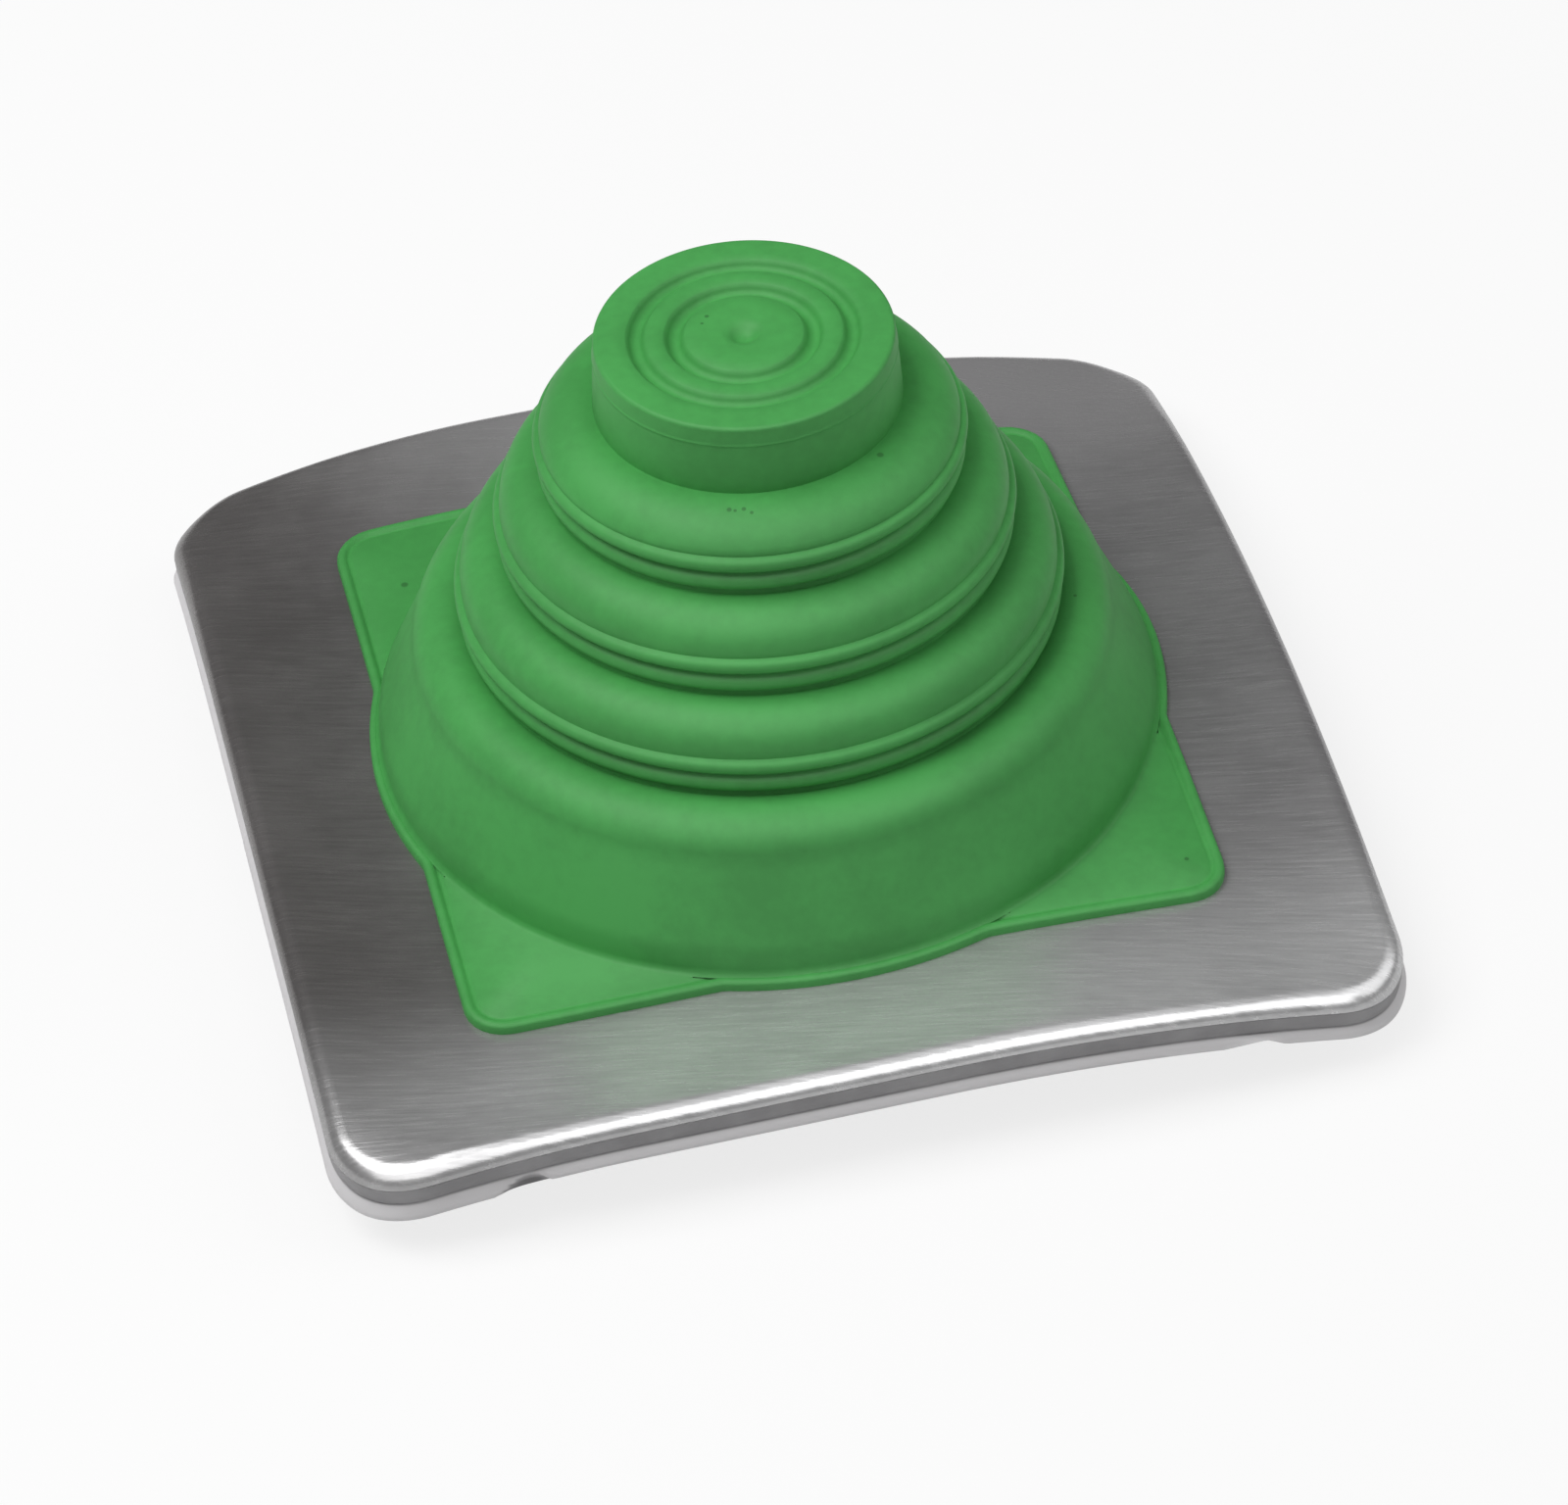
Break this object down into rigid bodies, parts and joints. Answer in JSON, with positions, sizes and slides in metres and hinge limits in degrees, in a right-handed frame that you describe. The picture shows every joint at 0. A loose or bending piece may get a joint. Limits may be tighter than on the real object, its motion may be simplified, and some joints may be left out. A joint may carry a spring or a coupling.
{
  "type": "pipe flashing boot",
  "caption": "Stepped rubber pipe boot with a closed top and a flange, on a square bent aluminium sheet with a rubber seal below.",
  "frame": {"origin": "on the axis of the cone, at the height of the lowest bent corner of the seal", "axes": "+Z along the cone's axis, towards its closed top; +X and +Y along the sides of the sheet, with +Y away from the viewer"},
  "size_m": [0.2044, 0.2044, 0.1147],
  "materials": {
    "boot_rubber": "matt green moulded rubber",
    "flange_sheet": "soft mill-finish sheet, handled and bent",
    "seal_rubber": "matt grey rubber"
  },
  "bodies": {
    "root": {"rubber_boot": "boot_rubber", "aluminium_flange": "flange_sheet", "base_seal": "seal_rubber"}
  },
  "joints": []
}
